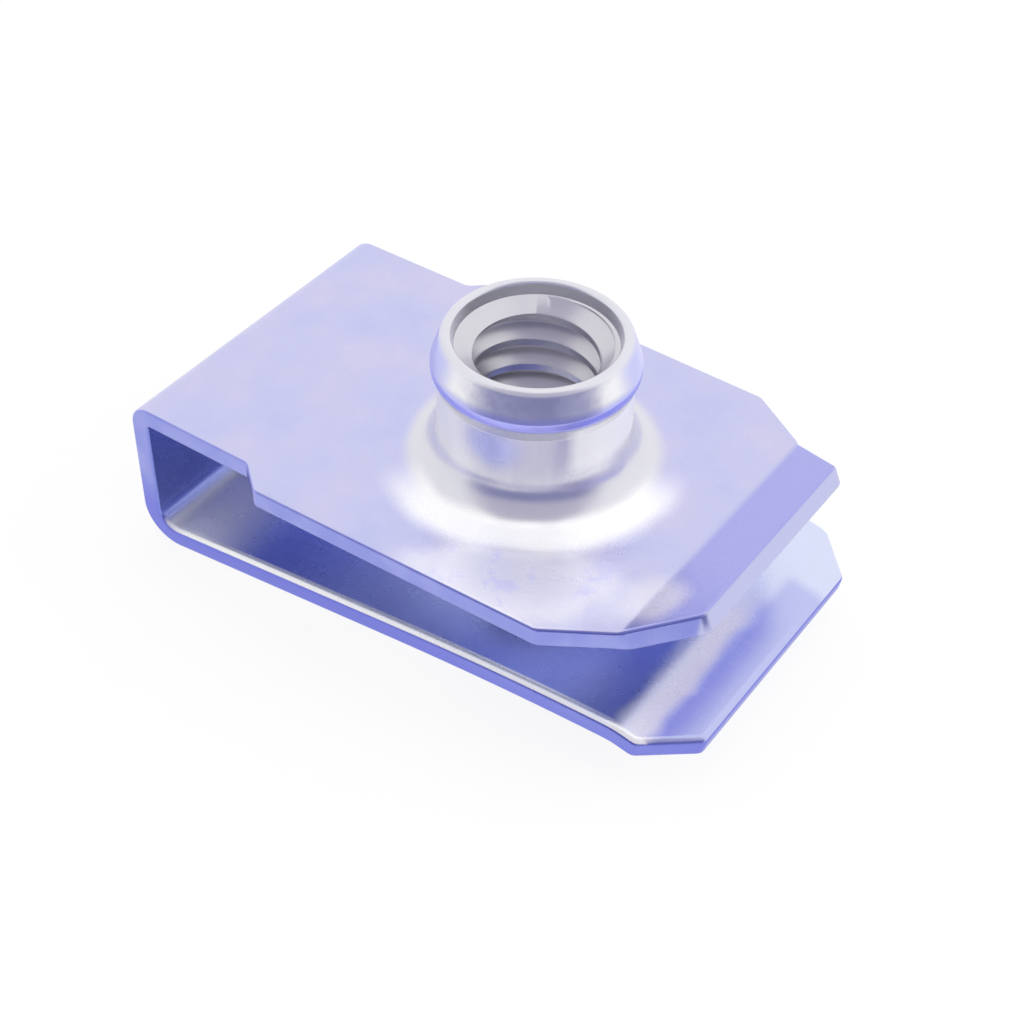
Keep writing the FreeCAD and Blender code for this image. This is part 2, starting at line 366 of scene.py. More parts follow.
def walk(place, heading, steps):
    """Follow runs and bends in the plane across the fold and list the points passed."""
    points = [Vector(place)]
    x, z = place
    for step in steps:
        if step[0] == "run":
            x += step[1] * math.cos(heading)
            z += step[1] * math.sin(heading)
            points.append(Vector((x, z)))
            continue
        radius, turn, count = step[1:]
        side = 1.0 if turn > 0 else -1.0
        centre_x = x - side * radius * math.sin(heading)
        centre_z = z + side * radius * math.cos(heading)
        for number in range(1, count + 1):
            way = heading + turn * number / count
            x = centre_x + side * radius * math.sin(way)
            z = centre_z - side * radius * math.cos(way)
            points.append(Vector((x, z)))
        heading += turn
    return points


def rounded(corners, radius):
    """A line through the corners with each corner between the ends rounded."""
    points = [Vector(corners[0])]
    for before, corner, after in zip(corners, corners[1:], corners[2:]):
        corner = Vector(corner)
        back = (Vector(before) - corner).normalized()
        ahead = (Vector(after) - corner).normalized()
        half = back.angle(ahead) / 2
        reach = radius / math.tan(half)
        centre = corner + (back + ahead).normalized() * radius / math.sin(half)
        start = corner + back * reach - centre
        stop = corner + ahead * reach - centre
        count = max(1, int((math.pi - 2 * half) / FINEST_CORNER))
        for number in range(count + 1):
            points.append(centre + radius * start.slerp(stop, number / count).normalized())
    points.append(Vector(corners[-1]))
    return points


def height_at(line, x):
    """Height of a line of points at one place, read between its points."""
    for first, last in zip(line, line[1:]):
        low, high = sorted((first.x, last.x))
        if low - SLACK <= x <= high + SLACK and high - low > SHORTEST_RUN:
            return first.y + (last.y - first.y) * (x - first.x) / (last.x - first.x)
    raise RuntimeError("no such place on the sheet's middle line")


def leg_stations(line, outline):
    """Places along one leg where its height or its half width changes."""
    low = min(point.x for point in line)
    high = max(point.x for point in line)
    places = {point.x for point in line}
    places |= {point.x for point in outline if low <= point.x <= high}
    places = {round(place, PLACE_DIGITS) for place in places}
    ordered = sorted(places, reverse=line[0].x > line[-1].x)
    return [(x, height_at(line, x), height_at(outline, x)) for x in ordered]


def crown_height(sizes):
    """Height of the spring leg's middle line at its crown."""
    return -sizes.thickness * 1.5 - sizes.leg_gap


def sheet_stations(sizes):
    """Stations (x, z, half width) of the strip, from the lip's tip round to the other tip."""
    half_sheet = sizes.thickness / 2
    middle = -half_sheet
    upper = sizes.upper_bend_inside + half_sheet
    lower = sizes.lower_bend_inside + half_sheet
    lip = sizes.lip_bend_inside + half_sheet
    flare = sizes.flare_bend_inside + half_sheet
    wall = half_sheet - sizes.back_reach
    rise = sizes.rise_angle
    dip = sizes.flare_angle

    bend_end = sizes.lip_start + lip * math.sin(sizes.lip_angle)
    lip_run = (sizes.lip_reach - bend_end) / math.cos(sizes.lip_angle)
    lip_rise = lip * (1 - math.cos(sizes.lip_angle)) + lip_run * math.sin(sizes.lip_angle)
    lip_heading = math.pi + sizes.lip_angle
    top = walk((sizes.lip_reach, middle + lip_rise), lip_heading, [
        ("run", lip_run),
        ("bend", lip, -sizes.lip_angle, LIP_PIECES),
        ("run", sizes.lip_start - (wall + upper)),
    ])

    foot_across = wall + lower * (1 + math.sin(rise))
    foot_height = crown_height(sizes) - (-sizes.crown_back - foot_across) * math.tan(rise)
    wall_foot = foot_height + lower * math.cos(rise)
    crown_length = sizes.flare_start + sizes.crown_back
    crest = math.asin(math.sin(rise) - crown_length / sizes.crown_radius)
    wall_run = middle - upper - wall_foot
    fold = walk((wall + upper, middle), math.pi, [
        ("bend", upper, math.pi / 2, UPPER_BEND_PIECES),
        ("run", wall_run),
        ("bend", lower, math.pi / 2 + rise, LOWER_BEND_PIECES),
    ])

    rising = (-sizes.crown_back - foot_across) / math.cos(rise)
    flare_across = sizes.flare_start + flare * (math.sin(crest) + math.sin(dip))
    spring = walk((foot_across, foot_height), rise, [
        ("run", rising),
        ("bend", sizes.crown_radius, crest - rise, SPRING_PIECES),
        ("bend", flare, -dip - crest, SPRING_PIECES),
        ("run", (sizes.spring_reach - flare_across) / math.cos(dip)),
    ])

    neck = sizes.strip_width / 2
    top_outline = rounded([
        (sizes.lip_reach, 0.0),
        (sizes.lip_reach, sizes.lip_end_width / 2),
        (sizes.corner_start, sizes.leg_front_width / 2),
        (-sizes.step_front, sizes.leg_width / 2),
        (-sizes.step_back, neck),
        (-sizes.back_reach, neck),
    ], sizes.corner_round)[1:]
    spring_outline = rounded([
        (-sizes.back_reach, neck),
        (sizes.spring_reach - sizes.spring_corner, neck),
        (sizes.spring_reach, neck - sizes.spring_corner),
        (sizes.spring_reach, 0.0),
    ], sizes.corner_round)[:-1]

    stations = leg_stations(top, top_outline)
    stations += [(point.x, point.y, neck) for point in fold[1:-1]]
    stations += leg_stations(spring, spring_outline)
    kept = [stations[0]]
    for station in stations[1:]:
        moved = math.hypot(station[0] - kept[-1][0], station[1] - kept[-1][1])
        if moved > SAME_STATION:
            kept.append(station)
    return kept


def rounding_share(mesh, edge, sizes):
    """How much of the full rounding an edge gets: all of it on top of the spring leg."""
    places = [mesh.vertices[number].co for number in edge.vertices]
    least = sizes.edge_round / sizes.spring_edge_round
    normals = [face.normal for face in mesh.polygons if edge.key in face.edge_keys]
    between_legs = -sizes.thickness - sizes.leg_gap / 2
    if max(normal.z for normal in normals) < LEAST_UPWARD or places[0].z > between_legs:
        return least
    wall = sizes.thickness - sizes.back_reach
    along = (places[0].x + places[1].x) / 2 - wall
    grown = min(1.0, max(0.0, along / sizes.lower_bend_inside))
    return least + (1.0 - least) * grown


def sharp_outline(piece):
    """Select the edges where the sheet's faces meet its cut sides."""
    pick(piece, "EDGE", lambda edge: False)
    bpy.ops.mesh.edges_select_sharp(sharpness=SHARP_TURN)


def fold_sheet(sizes):
    """Fold the strip from one edge, thicken and trim it and leave the collar's place open."""
    stations = sheet_stations(sizes)
    x, z, half = stations[0]
    deselect_all()
    bpy.ops.mesh.primitive_plane_add(size=2 * half, location=(x + half, 0, z))
    sheet = rename_new(CLIP)
    settle(sheet)
    pick(sheet, "VERT", lambda vertex: vertex.co.x > x + half)
    bpy.ops.mesh.delete(type="VERT")
    bpy.ops.mesh.select_all(action="SELECT")
    bpy.ops.mesh.select_mode(type="EDGE")
    for next_x, next_z, next_half in stations[1:]:
        bpy.ops.mesh.extrude_edges_move(
            TRANSFORM_OT_translate={"value": (next_x - x, 0, next_z - z)})
        bpy.ops.transform.resize(value=(1, next_half / half, 1))
        x, z, half = next_x, next_z, next_half
    back_to_object()

    for name in ("zinc_plate", "zinc_sheared"):
        sheet.data.materials.append(bpy.data.materials.new(name))
    apply_modifier(sheet, "SOLIDIFY", thickness=sizes.thickness, offset=0.0,
                   use_even_offset=True, material_offset_rim=1)
    face_outwards(sheet)
    pick(sheet, "FACE", lambda face: True)
    bpy.ops.mesh.dissolve_limited(angle_limit=FLAT_TURN, delimit={"MATERIAL"})
    back_to_object()
    round_outline(sheet, sizes)
    pierce_spring_leg(sheet, sizes)
    lowest = -1.5 * sizes.thickness
    remove_parts(sheet, "FACE", lambda face: bears_collar(sheet.data, face, lowest), "ONLY_FACE")
    return sheet


def round_outline(sheet, sizes):
    """Round the sheared edges, most of all those on top of the spring leg."""
    sharp_outline(sheet)
    back_to_object()
    weights = sheet.data.attributes.new("bevel_weight_edge", "FLOAT", "EDGE")
    for edge in sheet.data.edges:
        if edge.select:
            weights.data[edge.index].value = rounding_share(sheet.data, edge, sizes)
    apply_modifier(sheet, "BEVEL", width=sizes.spring_edge_round, offset_type="OFFSET",
                   segments=EDGE_PIECES, limit_method="WEIGHT", use_clamp_overlap=True)
    sheet.data.attributes.remove(sheet.data.attributes["bevel_weight_edge"])


def pierce_spring_leg(sheet, sizes):
    """Cut the screw's hole through the spring leg and round its edges."""
    deselect_all()
    bpy.ops.mesh.primitive_cylinder_add(
        vertices=HOLE_CORNERS, radius=sizes.screw_clearance, depth=4 * sizes.thickness,
        location=(0, 0, crown_height(sizes)))
    hole = rename_new("screw_hole")
    settle(hole)
    for material in sheet.data.materials:
        hole.data.materials.append(material)
    for face in hole.data.polygons:
        face.material_index = 1
    cut_away(sheet, hole)
    sharp_outline(sheet)
    bpy.ops.mesh.bevel(offset=sizes.edge_round, offset_type="OFFSET",
                       segments=HOLE_EDGE_PIECES, affect="EDGES", clamp_overlap=True)
    back_to_object()


def bears_collar(mesh, face, lowest):
    """Whether a face is one of the nut leg's two flat sides that the collar stands in."""
    places = [mesh.vertices[number].co for number in face.vertices]
    over_axis = min(place.x for place in places) < 0 < max(place.x for place in places)
    on_nut_leg = min(place.z for place in places) > lowest
    return abs(face.normal.z) > LEVEL_FACE and over_axis and on_nut_leg


def fill_around(piece, height):
    """Fill the flat room between the open edges that lie at one height."""
    mesh = piece.data
    level = {number for number in open_edges(mesh)
             if all(abs(mesh.vertices[end].co.z - height) < MERGE_DISTANCE
                    for end in mesh.edges[number].vertices)}
    pick(piece, "EDGE", lambda edge: edge.index in level)
    bpy.ops.mesh.fill(use_beauty=True)
    back_to_object()


# Drawn collar and its thread

def arc(centre, radius, first, last, pieces):
    """Points of an arc, its angles in degrees, with both ends."""
    points = []
    for number in range(pieces + 1):
        turn = math.radians(first + (last - first) * number / pieces)
        points.append((centre[0] + radius * math.cos(turn), centre[1] + radius * math.sin(turn)))
    return points


def collar_profile(collar, thickness):
    """Radius and height round the collar's section, from its foot over the rim to below."""
    foot, waist, bore = collar.foot_radius, collar.waist_radius, collar.bore_radius
    slope, taper = collar.dish_slope, collar.head_taper

    root = collar.root_round
    dish_edge = waist + root - root * math.sin(slope)
    dish = (foot - dish_edge) / math.sin(slope)
    root_height = dish * (1 - math.cos(slope)) + root * math.cos(slope)
    dish_end = 270 - math.degrees(slope)
    profile = arc((foot, dish), dish, 270, dish_end, pieces=6)
    profile += arc((waist + root, root_height), root, dish_end, 180, pieces=22)[1:]

    soft = collar.head_soft
    soft_turn = 40
    waist_end = collar.neck_top - soft
    profile += [(waist, waist_end)]
    profile += arc((waist + soft, waist_end), soft, 180, 180 - soft_turn, pieces=4)[1:]

    rim = collar.rim_round
    rim_centre = (collar.rim_crest, collar.rim_height - rim)
    rim_side = rim_centre[0] + rim * math.cos(taper)
    shoulder = (rim_centre[1] + rim * math.sin(taper)
                - (collar.head_radius - rim_side) / math.tan(taper))
    head = collar.head_radius - soft
    head_end = shoulder - soft * math.tan(taper / 2)
    lean = math.degrees(taper)
    profile += arc((head, collar.head_bottom + soft / 2), soft, -soft_turn, 0, pieces=4)
    profile += arc((head, head_end), soft, 0, lean, pieces=4)
    profile += arc(rim_centre, rim, lean, 90, pieces=9)

    mouth_edge = (collar.rim_crest, collar.rim_height - collar.mouth_soft)
    sink_top = collar.rim_height - collar.mouth_depth
    sink_bottom = sink_top - (collar.mouth_radius - bore) / math.tan(collar.sink_angle)
    profile += arc(mouth_edge, collar.mouth_soft, 90, 180, pieces=6)[1:]
    profile += [(collar.mouth_radius, sink_top), (bore, sink_bottom)]

    under = collar.mouth_round
    bore_end = under - thickness
    profile += [(bore, bore_end)]
    profile += arc((bore + under, bore_end), under, 180, 270, pieces=6)[1:]
    profile += [(foot, -thickness)]
    return profile


def draw_collar(collar, thickness):
    """Raise the collar ring by ring from its foot, over the rim and down the bore."""
    profile = collar_profile(collar, thickness)
    radius, height = profile[0]
    deselect_all()
    bpy.ops.mesh.primitive_circle_add(
        vertices=collar.segments, radius=radius, fill_type="NOTHING", location=(0, 0, height))
    wall = rename_new("collar_wall")
    settle(wall)
    pick(wall, "EDGE", lambda edge: True)
    for next_radius, next_height in profile[1:]:
        bpy.ops.mesh.extrude_edges_move(
            TRANSFORM_OT_translate={"value": (0, 0, next_height - height)})
        scale = next_radius / radius
        bpy.ops.transform.resize(value=(scale, scale, 1), center_override=(0, 0, next_height))
        radius, height = next_radius, next_height
    back_to_object()
    return wall


def join_collar(clip, wall, thickness):
    """Join the collar's wall to the sheet and fill the flat sheet round it on both sides."""
    make_active(clip)
    wall.select_set(True)
    bpy.ops.object.join()
    pick(clip, "VERT", lambda vertex: True)
    bpy.ops.mesh.remove_doubles(threshold=MERGE_DISTANCE)
    back_to_object()
    fill_around(clip, 0.0)
    fill_around(clip, -thickness)
    face_outwards(clip)


def groove_section(collar):
    """Radius and height of the corners of the groove's section, and half its height."""
    root = collar.thread_radius
    flank = math.tan(collar.flank_angle)
    inner = collar.bore_radius - collar.cutter_inside
    skirt = collar.bore_radius - collar.cutter_skirt
    crest = collar.bore_radius + collar.crest_ease
    shoulder = root - collar.root_ease
    bottom = collar.pitch * GROOVE_BOTTOM
    near_bottom = bottom + collar.root_ease * flank * GROOVE_EASING
    near_base = near_bottom + (shoulder - crest) * flank
    base = near_base + (crest - skirt)
    upper = [(root, bottom / 2), (shoulder, near_bottom), (crest, near_base),
             (skirt, base), (inner, base)]
    lower = [(radius, -height) for radius, height in reversed(upper)]
    return lower + upper, base


def thread_cutter(collar, thickness):
    """The shape of the thread's groove: one turned ridge, run past both ends of the bore."""
    section, base = groove_section(collar)
    below = math.ceil((collar.groove_height + thickness + base) / collar.pitch)
    above = math.ceil((collar.rim_height - collar.groove_height + base) / collar.pitch)
    start = collar.groove_height - below * collar.pitch
    deselect_all()
    bpy.ops.mesh.primitive_plane_add(size=collar.pitch, location=(0, 0, 0))
    ridge = rename_new("thread_groove")
    pick(ridge, "VERT", lambda vertex: vertex.index > 0)
    bpy.ops.mesh.delete(type="VERT")
    bpy.ops.mesh.select_all(action="SELECT")
    place = ridge.data.vertices[0].co.copy()
    for number, (radius, height) in enumerate(section):
        target = Vector((radius, 0, start + height))
        if number == 0:
            bpy.ops.transform.translate(value=target - place)
        else:
            bpy.ops.mesh.extrude_vertices_move(TRANSFORM_OT_translate={"value": target - place})
        place = target
    bpy.ops.mesh.select_all(action="SELECT")
    bpy.ops.mesh.edge_face_add()
    bpy.ops.mesh.delete(type="ONLY_FACE")
    back_to_object()
    apply_modifier(ridge, "SCREW", axis="Z", screw_offset=collar.pitch, iterations=below + above,
                   steps=THREAD_STEPS, render_steps=THREAD_STEPS, use_smooth_shade=True)
    close_ends(ridge)
    face_outwards(ridge)
    return ridge


def close_ends(ridge):
    """Close the turned ridge with one face at its lower and one at its upper end."""
    mesh = ridge.data
    heights = [vertex.co.z for vertex in mesh.vertices]
    middle = (min(heights) + max(heights)) / 2
    for upper in (False, True):
        chosen = {number for number in open_edges(mesh)
                  if (heights[mesh.edges[number].vertices[0]] > middle) == upper}
        pick(ridge, "EDGE", lambda edge: edge.index in chosen)
        bpy.ops.mesh.edge_face_add()
        back_to_object()


# Shader graphs

def joined_by(operation, swapped=False):
    """A method that joins two values with a Math node."""
    def join(self, other):
        pair = (other, self) if swapped else (self, other)
        return self.math(operation, *pair)
    return join


class Wire:
    """A socket that can be used in an expression; each operator adds a Math node."""

    def __init__(self, graph, socket):
        self.graph = graph
        self.socket = socket

    def math(self, operation, *values):
        return self.graph.node("ShaderNodeMath", {"operation": operation}, values)

    __add__ = __radd__ = joined_by("ADD")
    __sub__ = joined_by("SUBTRACT")
    __rsub__ = joined_by("SUBTRACT", swapped=True)
    __mul__ = __rmul__ = joined_by("MULTIPLY")
    __truediv__ = joined_by("DIVIDE")
    __pow__ = joined_by("POWER")
    larger = joined_by("MAXIMUM")

    def __abs__(self):
        return self.math("ABSOLUTE", self)

    def step(self, low, high):
        """0 below low, 1 above high and a smooth change between them."""
        return self.graph.node("ShaderNodeMapRange", {"interpolation_type": "SMOOTHSTEP"},
                               {"Value": self, "From Min": low, "From Max": high})


class Graph:
    """The node tree of one material or of the world."""

    def __init__(self, owner):
        owner.use_nodes = True
        self.tree = owner.node_tree
        self.tree.nodes.clear()

    def node(self, kind, settings=None, sockets=(), output=0):
        """Add a node, set it up, fill or link its sockets and return one output."""
        made = self.tree.nodes.new(kind)
        for name, value in (settings or {}).items():
            setattr(made, name, value)
        pairs = sockets.items() if isinstance(sockets, dict) else enumerate(sockets)
        for key, value in pairs:
            if isinstance(value, Wire):
                self.tree.links.new(value.socket, made.inputs[key])
            else:
                made.inputs[key].default_value = value
        return Wire(self, made.outputs[output]) if made.outputs else None

    def mix(self, share, first, second):
        """Blend two colours, in the Mix node's sockets for colours."""
        first, second = (value if isinstance(value, Wire) else (*value, 1.0)
                         for value in (first, second))
        return self.node("ShaderNodeMix", {"data_type": "RGBA"},
                         {0: share, 6: first, 7: second}, output=2)

    def place(self):
        """Where a point lies on the piece, in the piece's own coordinates."""
        return self.node("ShaderNodeTexCoord", output="Object")

    def axes(self, place):
        """The three numbers of a place."""
        return [self.node("ShaderNodeSeparateXYZ", None, [place], output=name) for name in "XYZ"]

    def noise(self, place, scale, detail, roughness):
        """Cloudy noise between 0 and 1, its scale in clouds per metre."""
        return self.node("ShaderNodeTexNoise", {"noise_dimensions": "3D"},
                         {"Vector": place, "Scale": scale, "Detail": detail,
                          "Roughness": roughness})


# Finish

# Direction of the collar's front, towards the clip's near side: along and across the sheet
FRONT = (0.553, 0.833)

# Noise: clouds per metre, detail and roughness
CLOUDS = (260.0, 3.0, 0.55)
PATCHES = (900.0, 3.0, 0.6)
WAVES = (320.0, 1.0, 0.4)
WANDER = (480.0, 1.0, 0.4)
CUT_MARKS = (7000.0, 2.0, 0.6)
CUT_CLOUDS = (700.0, 2.0, 0.5)
WANDER_REACH = 2.2
MARK_STRETCH = (1.0, 1.0, 0.25)

# Relief: how much of it shows, and its depth in millimetres
WAVE_RELIEF = (0.35, 0.036)
MARK_RELIEF = (0.3, 0.02)

# How far noise changes the sheet's, the collar's and the cut edges' roughness, and the colour
SHEET_UNEVEN = 0.08
DRAWN_UNEVEN = 0.05
CUT_UNEVEN = 0.12
COLOUR_UNEVEN = 0.06

# Spots: the middle and the narrowing each way, of the painted reflection of the collar in front
# of it (millimetres to the front and to the right), the pale patch by the lip (along and across)
# and the blue spot on the waist (share of the way to the right, height)
SPOTS = {
    "collar_reflection_spot": ((7.8218, -0.8722), (0.4, 0.2236)),
    "lip_corner": ((8.6, -4.6), (1.0, 0.8)),
    "blob": ((-0.38, 3.0), (3.9, 1.0)),
}
NEAR_AXIS = 0.1
STRIP_SLANT = 0.05

# Zones of the flat and drawn metal: the zone that each lies in, and rows of a coordinate, where
# the zone sets in, where it ends and how far its edge wanders. Each change runs from one place
# to another, in millimetres, or in shares of the way to the front or the right of the collar.
PLATE_ZONES = {
    "warm": (None, [("clouds", (0.46, 0.66), None)]),
    "cool": (None, [("clouds", None, (0.28, 0.50))]),
    "top": (None, [("z", (-0.2, 0.1), None)]),
    "lip": (None, [("x", (8.3, 8.75), None), ("z", (-0.5, -0.3), None)]),
    "beside_lip": ("top", [("from_lip_corner", None, (0.5, 1.5))]),
    # Painted reflection of the collar on the sheet in front of it, mottled blue
    "collar_reflection": ("top", [("from_collar_reflection", None, (0.65, 1.3), 0.3), ("radius", (4.4, 4.8), None)]),
    "reflection_mottle": ("collar_reflection", [("patches", (0.52, 0.66), None)]),
    # Painted highlight: a white band round the front of the collar's foot
    "foot": ("top", [("radius", (4.5, 5.0), (5.8, 6.8), 0.25), ("front", (0.15, 0.7), None),
                     ("z", None, (0.3, 0.5))]),
    "drawn": (None, [("radius", None, (4.8, 5.5)), ("z", (-0.85, -0.5), None)]),
    "bore": ("drawn", [("radius", None, (3.16, 3.28))]),
    "head": (None, [("radius", (3.6, 3.8), None), ("z", (4.1, 4.3), (5.45, 5.95))]),
    # Painted blue shade: a band round the head's lower edge, and its sides
    "head_line": ("head", [("z", (4.0, 4.2), (4.5, 5.0))]),
    "head_sides": ("head", [("beside", (0.75, 0.97), None)]),
    # Painted highlight on the head's sides
    "head_shine": ("head", [("beside", (0.15, 0.45), (0.75, 0.95)), ("z", (4.7, 5.0), None)]),
    # Painted dark reflection, mottled, on the head's front
    "head_front": ("head", [("front", (0.5, 0.9), None), ("patches", (0.42, 0.62), None),
                            ("z", (4.6, 4.8), None)]),
    "outside": (None, [("radius", (3.6, 3.75), (4.9, 5.6))]),
    # Painted highlights down the waist's right and left sides
    "waist_right": ("outside", [("z", (1.3, 2.3), (3.95, 4.25)), ("right", (0.22, 0.45), None)]),
    "waist_left": ("outside", [("z", (0.8, 1.6), (3.95, 4.25)), ("right", None, (-0.8, -0.55))]),
    "blob": ("outside", [("from_blob", None, (0.2, 1.4)), ("front", (0.2, 0.5), None)]),
    "below": (None, [("z", None, (-0.6, -0.4))]),
    # Painted shade on the back wall between the legs
    "wall": ("below", [("x", None, (-14.3, -13.9))]),
    # Painted pale reflection along the inner bend
    "streak": ("below", [("x", (-14.2, -13.8), (-12.5, -8.5)), ("z", None, (-4.6, -4.0))]),
    "spring": (None, [("z", None, (-4.3, -4.0))]),
    # Painted shade on the spring leg under the nut leg
    "mouth_shade": ("spring", [("x", (-1.5, 3.5), (8.25, 8.75), 0.3)]),
    # Painted pale reflection across the spring leg beyond the lip
    "warm_strip": ("spring", [("slant", (8.2, 8.7), (9.65, 10.25), 0.5),
                              ("y", None, (-0.5, 3.0))]),
    "blue_strip": ("spring", [("x", (9.9, 10.5), None, 0.3), ("y", None, (3.4, 4.2))]),
    # Painted highlight along the spring leg's upper edges
    "spring_edge_highlight": ("spring", [("across", (7.05, 7.15), None), ("x", (-13.6, -12.8), None)]),
}

# Coats over the flat sheet's colour, the lowest first: a colour, and how fully it covers zones
PLATE_COATS = [
    ("plate_warm", {"warm": 0.45}),
    ("plate_cool", {"cool": 0.4}),
    ("lip", {"lip": 1.0}),
    # Light painted in between the legs and underneath
    ("inside", {"below": 1.0}),
    # Painted shade on the back wall and under the nut leg
    ("inside_shade", {"wall": 1.0, "mouth_shade": 0.85}),
    # Painted pale reflection along the inner bend
    ("pale_reflection", {"streak": 0.64}),
    ("plate_cool", {"blue_strip": 0.8}),
    # Painted pale reflection beyond the lip, and a pale patch beside the lip
    ("pale_reflection", {"warm_strip": 1.0, "beside_lip": 0.6}),
    ("silver", {"drawn": 0.92}),
    ("bore", {"bore": 0.6}),
    # Painted highlight on the head's sides
    ("bright", {"head_shine": 0.6}),
    # Painted dark reflection on the head's front
    ("dark_reflection", {"head_front": 0.3}),
    # Painted blue shade round the head's lower edge and sides
    ("blue_shade", {"head_line": 0.9, "head_sides": 0.6}),
    # Painted reflection of the collar in front of it, mottled with painted blue shade
    ("collar_reflection", {"collar_reflection": 0.9}),
    ("blue_shade", {"reflection_mottle": 0.35}),
    # Painted highlights in white round the foot, down the waist's sides and along the spring
    # leg's upper edges
    ("bright", {"foot": 1.0, "waist_right": 1.0, "waist_left": 0.8, "spring_edge_highlight": 0.9}),
    ("blob", {"blob": 0.8}),
]

# How matt the metal is in some zones; the painted highlights and reflections are made matt so
# that their pale colour shows
MATT = {"drawn": 0.22, "waist_right": 0.85, "waist_left": 0.68, "warm_strip": 0.4,
        "streak": 0.68, "foot": 0.85, "collar_reflection": 0.7, "blob": 0.4, "spring_edge_highlight": 0.45}

# Zones and coats of the sheared edges, written as above
SHEARED_ZONES = {
    "clouds": (None, [("clouds", (0.35, 0.7), None)]),
    # Darker towards the bottom: painted shade on the spring leg's cut sides
    "spring": (None, [("z", None, (-5.6, -3.0))]),
    "tip": (None, [("z", (-0.9, -0.5), None), ("x", (10.75, 10.95), None)]),
}
SHEARED_COATS = [
    ("plate_cool", {"clouds": 0.25}),
    # Painted shade on the spring leg's cut sides
    ("sheared_shade", {"spring": 1.0}),
    ("tip", {"tip": 1.0}),
]


def span(first, second):
    """Length of a line from its two parts."""
    return (first * first + second * second) ** 0.5


def turned(x, y):
    """A place's parts to the collar's front and to its right."""
    return x * FRONT[0] - y * FRONT[1], x * FRONT[1] + y * FRONT[0]


def from_spot(name, first, second):
    """Distance from a spot's middle, narrowed each way."""
    middle, narrowing = SPOTS[name]
    return span((first - middle[0]) * narrowing[0], (second - middle[1]) * narrowing[1])


def plate_coordinates(x, y, z, wander):
    """What the zones of the flat and drawn metal are measured in, but for the noise."""
    radius = span(x, y)
    ahead, aside = turned(x, y)
    front, right = (part / radius.larger(NEAR_AXIS) for part in (ahead, aside))
    return {
        "x": x, "y": y, "z": z, "radius": radius,
        "front": front, "right": right, "beside": abs(right), "across": abs(y),
        "slant": x + y * STRIP_SLANT,
        "from_collar_reflection": from_spot("collar_reflection_spot", ahead, aside),
        "from_lip_corner": from_spot("lip_corner", x + wander * 0.3, y),
        "from_blob": from_spot("blob", right, z),
    }


def zone_shares(zones, coordinates, wander=None):
    """Each zone's share at a point: 1 inside it, 0 outside, as a product of soft changes."""
    shares = {}
    for name, (outer, rows) in zones.items():
        parts = [shares[outer]] if outer else []
        for coordinate, sets_in, ends, *reach in rows:
            value = coordinates[coordinate]
            if reach:
                value = value + wander * reach[0]
            if sets_in:
                parts.append(value.step(*sets_in))
            if ends:
                parts.append(1.0 - value.step(*ends))
        shares[name] = reduce(Wire.__mul__, parts)
    return shares


def strongest(shares, strengths):
    """The largest of some zones' shares, each times its strength."""
    return reduce(Wire.larger, [shares[name] * strengths[name] for name in strengths])


def coated(graph, zinc, base, coats, shares):
    """Lay coats of colour over a base colour."""
    for name, strengths in coats:
        base = graph.mix(strongest(shares, strengths), base, getattr(zinc, name))
    return base


def start_graph(material):
    """Clear a material's nodes and give its graph, the place on the piece, and that in mm."""
    graph = Graph(material)
    place = graph.place()
    return graph, place, [axis / MM for axis in graph.axes(place)]


def metal_surface(graph, colour, metal, roughness, height, relief):
    """Send a metal shader to the material's output, with bumps by a height between 0 and 1."""
    strength, depth = relief
    bump = graph.node("ShaderNodeBump", None,
                      {"Strength": strength, "Distance": depth * MM, "Height": height})
    shader = graph.node("ShaderNodeBsdfPrincipled", None,
                        {"Base Color": colour, "Metallic": metal, "Roughness": roughness,
                         "Normal": bump})
    graph.node("ShaderNodeOutputMaterial", None, [shader])


def plate_material(material, zinc):
    """Blue zinc on the flat sheet that turns to burnished silver on the drawn collar, with
    painted highlights, reflections and shade laid over it.
    """
    graph, place, (x, y, z) = start_graph(material)
    patches = graph.noise(place, *PATCHES)
    wander = (graph.noise(place, *WANDER) - 0.5) * WANDER_REACH
    coordinates = plate_coordinates(x, y, z, wander)
    coordinates |= {"clouds": graph.noise(place, *CLOUDS), "patches": patches}
    shares = zone_shares(PLATE_ZONES, coordinates, wander)

    uneven = patches - 0.5
    base = coated(graph, zinc, zinc.plate, PLATE_COATS, shares)
    base = graph.node("ShaderNodeVectorMath", {"operation": "SCALE"},
                      {"Vector": base, "Scale": 1.0 + uneven * COLOUR_UNEVEN})
    drawn = shares["drawn"]
    roughness = ((zinc.plate_roughness + uneven * SHEET_UNEVEN) * (1.0 - drawn)
                 + (zinc.silver_roughness + uneven * DRAWN_UNEVEN) * drawn)
    metal_surface(graph, base, 1.0 - strongest(shares, MATT), roughness,
                  graph.noise(place, *WAVES), WAVE_RELIEF)


def sheared_material(material, zinc):
    """The blank's sheared edges: bluer and darker, the darkness painted shade that deepens low on
    the spring leg, with fine marks across the sheet's thickness.
    """
    graph, place, (x, _, z) = start_graph(material)
    stretched = graph.node("ShaderNodeMapping", None, {"Vector": place, "Scale": MARK_STRETCH})
    marks = graph.noise(stretched, *CUT_MARKS)
    coordinates = {"x": x, "z": z, "clouds": graph.noise(place, *CUT_CLOUDS)}
    shares = zone_shares(SHEARED_ZONES, coordinates)
    base = coated(graph, zinc, zinc.sheared, SHEARED_COATS, shares)
    roughness = zinc.cut_roughness + (marks - 0.5) * CUT_UNEVEN
    metal_surface(graph, base, 1.0, roughness, marks, MARK_RELIEF)


# Operators

